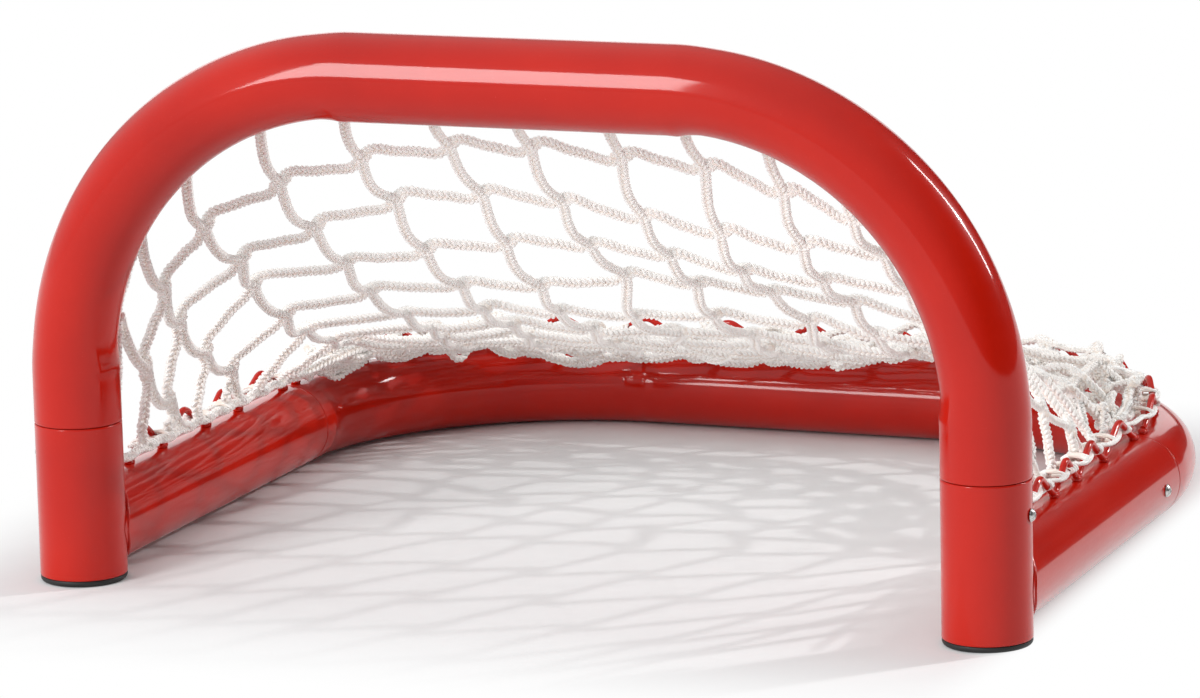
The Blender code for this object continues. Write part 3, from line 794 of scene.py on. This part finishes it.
# the hoops' squareness (2 is an ellipse), and how steeply the crown falls behind the arch
SHOULDER = 2.7
CROWN_FALL = 2.25
CROWN_REAR_LIFT = 0.004
HOOP_POINTS = 241
EDGE_POINTS = 260
CORD_GAP, KNOT_GAP = 0.0040, 0.0050  # from a tube to a cord's or a knot's middle line
SPAN_STEPS = 16
LOOK_BACK = np.array((0, 0.85, 0))  # turns the braids' flat side towards the mouth


def foot_distance(along):
    """Place along the base beside a hoop at a depth."""
    past = (along - BASE.leg) / (BEND_RADIUS - NET_INSET)
    if past <= 0:
        return along
    return BASE.leg + BEND_RADIUS * math.asin(min(past, 1.0))


def crown(along):
    """Height of the net's middle line."""
    share = (along - NET_LIFT) / (NET_BACK - NET_LIFT)
    rear = base_axis_height(NET_BACK) + NET_LIFT
    return rear + CROWN_REAR_LIFT + (ARCH_HEIGHT - NET_INSET - rear) * (1 - share) ** CROWN_FALL


def hoop_line(along):
    """Points across the whole net at one depth, from the left edge to the right."""
    if along <= NET_LIFT + 1e-6:
        places = np.linspace(ARCH_ROD_END, ARCH.length - ARCH_ROD_END, HOOP_POINTS)
        return np.array([arch_point(place, NET_INSET, NET_LIFT) for place in places])
    foot = base_point(foot_distance(along), NET_INSET, NET_LIFT)
    angles = np.linspace(-math.pi / 2, math.pi / 2, HOOP_POINTS)
    across = np.abs(foot[0]) * np.sign(angles) * np.abs(np.sin(angles)) ** (2 / SHOULDER)
    rise = np.maximum(np.cos(angles), 0) ** (2 / SHOULDER)
    height = foot[2] + (crown(along) - foot[2]) * rise
    return np.stack([across, np.full(HOOP_POINTS, FRONT_Y + along), height], 1)


def edge_at(place):
    return base_point(place, NET_INSET, NET_LIFT)


def slack_share(along):
    """How slack the net is at a depth: 0 behind the arch, 1 near the rear bar."""
    return smooth_step((along - 0.16) / 0.16)


BASE_AXIS = np.array([base_point(place) for place in np.linspace(0, BASE.length, 500)])
ARCH_AXIS = np.array([arch_point(place) for place in np.linspace(0, ARCH.length, 300)])


def clear_of_tubes(path, gap):
    """Moves points out of the tubes, so that a cord lies on them."""
    for axis_line in (BASE_AXIS, ARCH_AXIS):
        away = path[:, None] - axis_line[None]
        length = norm(away, axis=2)
        nearest = length.argmin(1)
        rows = np.arange(len(path))
        short = np.maximum(TUBE_RADIUS + gap - length[rows, nearest], 0)
        path = path + unit(away[rows, nearest]) * short[:, None]
    return path


class NetPart:
    """Knots by row and column of one part of the net, and each row's end points and slackness."""

    def __init__(self, knots, ends, slackness):
        self.knots = knots
        self.ends = ends
        self.slackness = slackness

    def way(self, row, column, row_step, column_step, otherwise):
        """Direction through a knot, from one neighbour to the other."""
        here = self.knots[row, column]
        total = np.zeros(3)
        for sign in (1, -1):
            other = (row + sign * row_step, column + sign * column_step)
            if other in self.knots:
                total += sign * unit(self.knots[other] - here)
        return unit(total) if norm(total) > 0.1 else np.array(otherwise)

    def back(self, row, column):
        return self.way(row, column, 1, 0, (0, 1.0, 0))

    def side(self, row, column):
        return self.way(row, column, 0, 1, (1.0, 0, 0))

    def out(self, row, column):
        out = np.cross(self.side(row, column), self.back(row, column))
        if norm(out) < 0.2:
            return np.array((0, 0, 1.0))
        return unit(out if out[2] + 0.3 * out[1] > 0 or abs(out[0]) > 0.7 * norm(out) else -out)


def main_net():
    """The net from the arch to the rear, on hoops at each row's depth."""
    knots, ends = {}, []
    for row, along in enumerate(ROW_DEPTHS):
        line = hoop_line(along)
        lengths = run_length(line)
        lengths -= lengths[-1] / 2
        ends.append((line[0], line[-1]))
        slack = slack_share(along)
        for column, place in enumerate(COLUMN_PLACES):
            if abs(place) > lengths[-1] - 0.014:
                continue
            spot = np.array([np.interp(place, lengths, line[:, axis]) for axis in range(3)])
            loose = RANDOM.normal(0, 1, 3)
            if (row, column) in READ_KNOTS:
                spot[0], spot[2] = READ_KNOTS[row, column]
            elif row:
                spot += loose * (0.0015 + 0.0045 * slack, 0.0015 + 0.0035 * slack, 0.0015)
            # the photograph's net stands higher at the rear right
            spot[2] += 0.0115 * smooth_step((spot[0] - 0.055) / 0.06) * smooth_step((row - 6) / 2)
            knots[row, column] = spot
    return NetPart(knots, ends, [slack_share(along) for along in ROW_DEPTHS])


def slack_net():
    """The slack that hangs in front of the rear bar, its knots numbered from the middle."""
    knots, ends = {}, []
    for row, (inset, height) in enumerate(SLACK_ROWS):
        start = SLACK_START + 0.006 * row + RANDOM.uniform(0, 0.02)
        finish = BASE.length - start + 0.03
        ends.append((edge_at(start), edge_at(finish)))
        shift = RANDOM.uniform(-0.012, 0.012)
        for number in range(-11, 12):
            place = BASE.length / 2 + SLACK_PITCH * number + shift
            if not start + 0.02 < place < finish - 0.02:
                continue
            share = smooth_step((place - start) / 0.15) * smooth_step((finish - place) / 0.10)
            spot = base_point(place, NET_INSET + (inset - NET_INSET) * share)
            spot[2] = np.interp(place * 1000, *zip(*LOWER_EDGE)) / 1000 + height
            if inset < 0.034:
                # the last two rows lie on the rear bar
                spot[2] = max(spot[2], 0.0635 - 0.35 * max(inset * share - 0.012, 0.0))
            spot += RANDOM.normal(0, 1, 3) * (0.0030, 0.0022, 0.0012)
            knots[row, number] = spot
    return NetPart(knots, ends, [1.0] * len(SLACK_ROWS))


# shapes of one span between two knots
SHARE = (np.arange(SPAN_STEPS + 1) / SPAN_STEPS)[:, None]
WAVE = np.sin(TURN * SHARE) + 0.35 * np.sin(2 * TURN * SHARE)
BOW = np.sin(math.pi * SHARE)
NEAR_KNOTS = np.exp(-(SHARE / 0.12) ** 2) + np.exp(-((SHARE - 1.0) / 0.12) ** 2)
CROSSING = 0.0012  # how far rows and columns pass over and under each other at their knots
DOWN = np.array((0, 0, -1.0))


def net_cord(skin, anchors, normals, offsets, phase):
    """One net cord through its anchors, with offsets for each span's samples."""
    path = through(anchors, SPAN_STEPS)
    outward = unit(through(normals, SPAN_STEPS)) + LOOK_BACK
    for span, offset in enumerate(offsets):
        path[span * SPAN_STEPS:(span + 1) * SPAN_STEPS] += offset[:SPAN_STEPS]
    braid(skin, clear_of_tubes(path, CORD_GAP), unit(outward), NET_BRAID, phase=phase)


def add_rows(skin, part, calm_row=None):
    """The cords that run across; the calm row follows the arch with little wave."""
    for row, (first, last) in enumerate(part.ends):
        columns = sorted(column for (r, column) in part.knots if r == row)
        outs = [part.out(row, column) for column in columns]
        anchors = [first] + [part.knots[row, column] for column in columns] + [last]
        slack = part.slackness[row]
        calm = 0.25 if row == calm_row else 1.0
        offsets = []
        for index in range(len(anchors) - 1):
            column = columns[min(max(index - 1, 0), len(columns) - 1)]
            wave = calm * (0.0052 - 0.0024 * slack) * RANDOM.uniform(0.75, 1.25)
            sag = calm * (0.0015 + 0.0012 * slack) * RANDOM.uniform(0.2, 1.6)
            side_wave = RANDOM.normal(0, 0.0022 * slack)
            offsets.append(-part.back(row, column) * wave * WAVE + DOWN * sag * BOW
                           + part.out(row, column) * (CROSSING * NEAR_KNOTS + side_wave * WAVE))
        net_cord(skin, anchors, [outs[0]] + outs + [outs[-1]], offsets, RANDOM.uniform(0, 6))


def column_chains(main, slack):
    """Each column's knots with their part of the net, front to rear, and its end point."""
    middle = BASE.length / 2
    numbers = {number for _, number in slack.knots}
    last_row = len(ROW_DEPTHS) - 1
    chains, used = [], set()

    def slack_members(number):
        return [(slack, key) for key in sorted(slack.knots) if key[1] == number]

    for column, place in enumerate(COLUMN_PLACES):
        members = [(main, (row, column)) for row in range(last_row + 1) if (row, column) in main.knots]
        if not members:
            continue
        row = members[-1][1][0]
        if row == last_row:
            here = main.knots[row, column][:2]
            beside = {n: base_point(middle + SLACK_PITCH * n, 0.07)[:2] for n in numbers}
            number = min(numbers, key=lambda n: norm(beside[n] - here))
            used.add(number)
            members += slack_members(number)
            end = edge_at(middle + SLACK_PITCH * number)
        else:
            end = edge_at(foot_distance((ROW_DEPTHS[row] + ROW_DEPTHS[row + 1]) / 2))
            end[0] = math.copysign(end[0], place)
        chains.append((members, end))
    for number in sorted(numbers - used):
        chains.append((slack_members(number), edge_at(middle + SLACK_PITCH * number)))
    return chains


def build_net(main, slack):
    skin = Skin()
    add_rows(skin, main, calm_row=0)
    add_rows(skin, slack)
    for members, end in column_chains(main, slack):
        anchors = [part.knots[key] for part, key in members] + [end]
        outs = [part.out(*key) for part, key in members]
        offsets = []
        for (part, key), here, there in zip(members, anchors, anchors[1:]):
            span = min(1.0, norm(there - here) / 0.045)
            sag = 0.0048 * span * RANDOM.uniform(0.6, 1.25)
            drift = 0.0036 * span * RANDOM.uniform(0.5, 1.3)
            bow = DOWN * sag - part.side(*key) * drift
            offsets.append(bow * BOW - part.out(*key) * CROSSING * NEAR_KNOTS)
        if len(anchors) > 2:
            net_cord(skin, anchors, outs + [outs[-1]], offsets, RANDOM.uniform(0, 6))

    for part in (main, slack):
        for key, centre in part.knots.items():
            if part is main and key[0] == 0:
                continue
            axis = part.side(*key) - RANDOM.uniform(0.3, 0.9) * part.back(*key)
            centre = clear_of_tubes(centre[None], KNOT_GAP)[0]
            half_length = RANDOM.uniform(0.0070, 0.0088)
            plait(skin, centre, axis, part.out(*key) + LOOK_BACK, half_length, RANDOM.uniform(0, 6))

    places = np.linspace(NET_LIFT, BASE.length - NET_LIFT, EDGE_POINTS)
    edge = np.array([edge_at(place) for place in places])
    edge[:, 2] += 0.0010 * np.sin(places * 230) - 0.0006
    inward = np.array([base_point(place, NET_INSET + PROBE, NET_LIFT) for place in places]) - edge
    braid(skin, edge, unit(inward + (0, 0, 1e-4)), EDGE_BRAID, phase=0.4)
    skin.finish("net_braided", NET_CORD, "white_cord", "net")


# ---- lacing

LACING_LIFT = ROD_LIFT + 0.0075
LASHING_PLACES = (0.26, 0.74)
LASHING_SPARE = 0.0028


def woven_path(point_at, spans):
    """The lacing cord's line, which sways past the rod's teeth."""
    path = []
    for valleys in spans:
        for begin, end in zip(valleys, valleys[1:]):
            for share in np.arange(12) / 12:
                sway = 0.0034 * math.sin(TURN * share)
                lift = LACING_LIFT + 0.0008 * math.sin(2 * TURN * share)
                path.append(point_at(begin + (end - begin) * share, sway, lift))
        path.append(point_at(valleys[-1], 0.0, LACING_LIFT))
    return np.array(path)


def build_lacing(name, point_at, spans, outward, replaced):
    """A cord woven along the rods, and lashings from the net's edge to the wire."""
    skin = Skin()
    path = woven_path(point_at, spans)
    braid(skin, path, np.tile(outward, (len(path), 1)), LACING_BRAID, step=LACING_STEP, phase=1.0)
    for valleys in spans:
        for begin, end in zip(valleys, valleys[1:]):
            for share in LASHING_PLACES:
                place = begin + (end - begin) * (share + RANDOM.uniform(-0.03, 0.03))
                rod = point_at(place, 0.0, ROD_LIFT + tooth_height(share))
                edge = point_at(place, NET_INSET, NET_LIFT)
                axis = unit(point_at(place + PROBE) - point_at(place - PROBE)) + RANDOM.normal(0, 0.12, 3)
                coil(skin, (rod + edge) / 2, axis, edge - rod, norm(edge - rod) / 2 + LASHING_SPARE,
                     RANDOM.integers(2, 4) + 0.4, RANDOM.uniform(0, 6))
    skin.finish(name, LACING_CORD, "white_cord", replaced)


# ---- surroundings

FLOOR_REACH, FLOOR_TOP = 30, -0.0002
# the floor fades to white round the goal: axis, where it is white, where it is in full shade
FLOOR_FADES = (("X", -0.41, -0.29), ("X", 0.302, 0.264), ("Y", -0.44, -0.25), ("Y", 0.40, 0.28))
AIM = Vector((0.0, 0.0, 0.10))
SKY_COLOUR = (0.97, 0.985, 1.0)
SKY_SIDE = (-0.60, -0.36, 0.71)  # where the sky is brightest
SKY_DIM, SKY_BRIGHT = 0.03, 0.98
SKY_FROM = -0.3  # cosine of the angle from there at which it starts to brighten
# name, direction from the goal, distance, power, then width and height, or a disc's diameter
LIGHTS = (
    ("key", (1.42, 1.15, 1.0), 3.2, 31.0, 0.095),
    ("side_strip", (1.27, 1.0, 0.95), 3.0, 26.0, 0.24, 1.5),
    ("front_box", (-0.973, -2.167, 1.10), 4.5, 112.0, 1.22, 2.29),
    ("back_panel", (-0.37, 0.93, 0.20), 3.0, 9.0, 2.6, 0.8),
)
# the camera, fitted to the photograph
CAMERA_PLACE = (1.26874, -3.38234, 0.84724)
YAW, PITCH, ROLL = -0.3703169, 0.2033374, -0.0226433
SENSOR_WIDTH = 36.0
FOCAL_LENGTH = 184.966


def build_floor():
    """A pale floor that takes the goal's shadow; farther out the camera sees it white."""
    mesh = bpy.data.meshes.new("floor")
    corners = [(x * FLOOR_REACH, y * FLOOR_REACH, FLOOR_TOP) for x, y in ((-1, -1), (1, -1), (1, 1), (-1, 1))]
    mesh.from_pydata(corners, [], [(0, 1, 2, 3)])
    floor = add_object("floor", mesh)
    n = Nodes(bpy.data.materials.new("pale_floor"))
    n.tree.nodes.clear()
    place = n.object_place()
    apart = n.add("SeparateXYZ", place).outputs
    shaded = 1.0
    for axis, white_at, shaded_at in FLOOR_FADES:
        shaded = n.calc("MULTIPLY", shaded, n.eased(apart[axis], white_at, shaded_at))
    ray = n.add("LightPath").outputs
    seen = n.calc("MAXIMUM", ray["Is Camera Ray"], ray["Is Glossy Ray"])
    seen = n.calc("MAXIMUM", seen, ray["Is Transmission Ray"])
    white_share = n.calc("MULTIPLY", seen, n.calc("SUBTRACT", 1.0, shaded))
    tint = n.ramp(n.noise(place, 40.0, 4.0), [(0.0, 0.755), (1.0, 0.795)])
    matt = n.add("BsdfDiffuse", tint).outputs[0]
    white = n.add("Emission", (1, 1, 1), 1.0).outputs[0]
    n.add("OutputMaterial", n.add("MixShader", white_share, matt, white).outputs[0])
    mesh.materials.append(n.owner)


def add_light(name, towards, distance, power, size, size_y=None):
    """An area light that points at the goal: a disc, or a rectangle with a second size."""
    data = bpy.data.lights.new(name, "AREA")
    data.shape = "RECTANGLE" if size_y else "DISK"
    data.size = size
    if size_y:
        data.size_y = size_y
    data.energy = power
    light = add_object(name, data)
    light.location = AIM + Vector(towards).normalized() * distance
    light.rotation_mode = "QUATERNION"
    light.rotation_quaternion = (light.location - AIM).to_track_quat("Z", "Y")


def build_light():
    """A soft sky, brighter on one side, and four area lights."""
    world = bpy.data.worlds.new("studio")
    bpy.context.scene.world = world
    n = Nodes(world)
    facing = n.add("VectorMath", n.add("TexCoord").outputs["Generated"], Vector(SKY_SIDE).normalized(),
                   operation="DOT_PRODUCT").outputs["Value"]
    strength = n.eased(facing, SKY_FROM, 1.0, SKY_DIM, SKY_BRIGHT)
    n.set(n.tree.nodes["Background"], Color=SKY_COLOUR, Strength=strength)
    for light in LIGHTS:
        add_light(*light)


def build_camera():
    data = bpy.data.cameras.new("camera")
    data.sensor_fit = "HORIZONTAL"
    data.sensor_width = SENSOR_WIDTH
    data.lens = FOCAL_LENGTH
    data.clip_start, data.clip_end = 0.1, 100.0
    camera = add_object("camera", data)
    turn = (Matrix.Rotation(-YAW, 4, "Z") @ Matrix.Rotation(math.pi / 2 - PITCH, 4, "X")
            @ Matrix.Rotation(ROLL, 4, "Z"))
    camera.matrix_world = Matrix.Translation(CAMERA_PLACE) @ turn
    bpy.context.scene.camera = camera


def polish_inserts():
    """The four threaded inserts keep their solid meshes and get the steel."""
    for name, _ in HANDS:
        for kind in ("post", "base"):
            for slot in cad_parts[f"{name}_{kind}_insert"].material_slots:
                slot.material = STEEL


build_camera()
build_tubes()
build_caps()
build_screws()
net_parts = main_net(), slack_net()
build_rods()
build_net(*net_parts)
build_lacing("base_lacing_braided", base_point, list(VALLEYS.values()), (0, 0, 1), "base_lacing_cord")
build_lacing("arch_lacing_braided", arch_point, [ARCH_VALLEYS], (0, 1, 0), "arch_lacing_cord")
polish_inserts()
build_floor()
build_light()
bpy.context.scene.view_settings.view_transform = "Standard"
